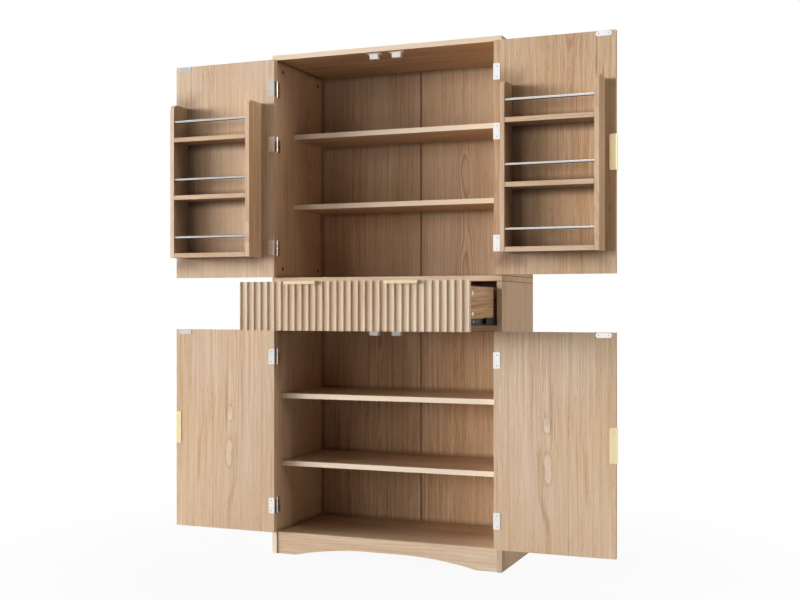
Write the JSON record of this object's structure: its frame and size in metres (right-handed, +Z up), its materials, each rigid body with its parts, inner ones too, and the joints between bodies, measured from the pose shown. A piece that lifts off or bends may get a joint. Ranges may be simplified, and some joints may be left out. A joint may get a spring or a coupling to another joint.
{
  "type": "kitchen hutch",
  "caption": "Tall oak-look kitchen hutch: open shelves behind hinged upper and lower doors, rail racks on the upper doors, a fluted drawer between and an arched kick board.",
  "frame": {"origin": "on the floor, at the middle of the footprint that the hutch has with its doors open and its drawer out, 54 mm behind the front plane of the carcass", "axes": "+X to the viewer's right along the front, +Y from the front to the back, +Z up"},
  "size_m": [1.641, 0.692, 1.8],
  "materials": {
    "oak": "satin light oak veneer",
    "oak_panel": "satin light oak foil on thin board",
    "nickel": "bright nickel plate",
    "zinc_steel": "zinc plate",
    "rail_steel": "satin steel tube",
    "gold_pull": "satin pale gold",
    "black_slide": "black coated steel",
    "white_plastic": "matte white",
    "brown_plastic": "matte brown strip"
  },
  "bodies": {
    "carcass": {"back_joiners": "brown_plastic", "base_top": "oak", "bottom_panel": "oak", "cam_fasteners": "zinc_steel", "drawer_deck": "oak", "frame_screws": "zinc_steel", "hinge_frame_leaves": "nickel", "hinge_pins": "nickel", "kick_board": "oak", "lower_back_left": "oak_panel", "lower_back_right": "oak_panel", "lower_left_side": "oak", "lower_right_side": "oak", "lower_shelf_1": "oak", "lower_shelf_2": "oak", "magnet_catches": "white_plastic", "shelf_pins": "zinc_steel", "slide_outer_members": "black_slide", "top_panel": "oak", "upper_back_left": "oak_panel", "upper_back_right": "oak_panel", "upper_left_side": "oak", "upper_right_side": "oak", "upper_shelf_1": "oak", "upper_shelf_2": "oak"},
    "upper_left_door_body": {"upper_left_door": "oak", "upper_left_pull": "gold_pull", "upper_left_hinge_leaves": "nickel", "upper_left_strike": "nickel", "upper_left_screws": "zinc_steel", "left_rack_sides": "oak", "left_rack_shelves": "oak", "left_rack_rails": "rail_steel"},
    "upper_right_door_body": {"upper_right_door": "oak", "upper_right_pull": "gold_pull", "upper_right_hinge_leaves": "nickel", "upper_right_strike": "nickel", "upper_right_screws": "zinc_steel", "right_rack_sides": "oak", "right_rack_shelves": "oak", "right_rack_rails": "rail_steel"},
    "lower_left_door_body": {"lower_left_door": "oak", "lower_left_pull": "gold_pull", "lower_left_hinge_leaves": "nickel", "lower_left_strike": "nickel", "lower_left_screws": "zinc_steel"},
    "lower_right_door_body": {"lower_right_door": "oak", "lower_right_pull": "gold_pull", "lower_right_hinge_leaves": "nickel", "lower_right_strike": "nickel", "lower_right_screws": "zinc_steel"},
    "drawer_body": {"drawer_back": "oak", "drawer_bottom": "oak_panel", "drawer_fasteners": "zinc_steel", "drawer_front": "oak", "drawer_left_side": "oak", "drawer_pulls": "gold_pull", "drawer_right_side": "oak", "slide_inner_members": "black_slide"},
    "slide_middle_body": {"slide_middle_members": "black_slide"}
  },
  "joints": [
    {"name": "upper_left_hinge", "type": "hinge", "parent": "carcass", "child": "upper_left_door_body", "pos_m": [-0.411, -0.058, 1.389], "axis": [0, 0, 1], "range_deg": [0, 180]},
    {"name": "upper_right_hinge", "type": "hinge", "parent": "carcass", "child": "upper_right_door_body", "pos_m": [0.411, -0.058, 1.389], "axis": [0, 0, 1], "range_deg": [-180, 0]},
    {"name": "lower_left_hinge", "type": "hinge", "parent": "carcass", "child": "lower_left_door_body", "pos_m": [-0.411, -0.058, 0.444], "axis": [0, 0, 1], "range_deg": [0, 180]},
    {"name": "lower_right_hinge", "type": "hinge", "parent": "carcass", "child": "lower_right_door_body", "pos_m": [0.411, -0.058, 0.444], "axis": [0, 0, 1], "range_deg": [-180, 0]},
    {"name": "drawer_slide", "type": "slide", "parent": "carcass", "child": "drawer_body", "axis": [0, -1, 0], "range_m": [-0.28, 0.06]},
    {"name": "slide_middle", "type": "slide", "parent": "carcass", "child": "slide_middle_body", "axis": [0, -1, 0], "range_m": [-0.14, 0.03]}
  ],
  "couplings": [
    {"joint": "slide_middle", "follows": "drawer_slide", "ratio": 0.5}
  ]
}
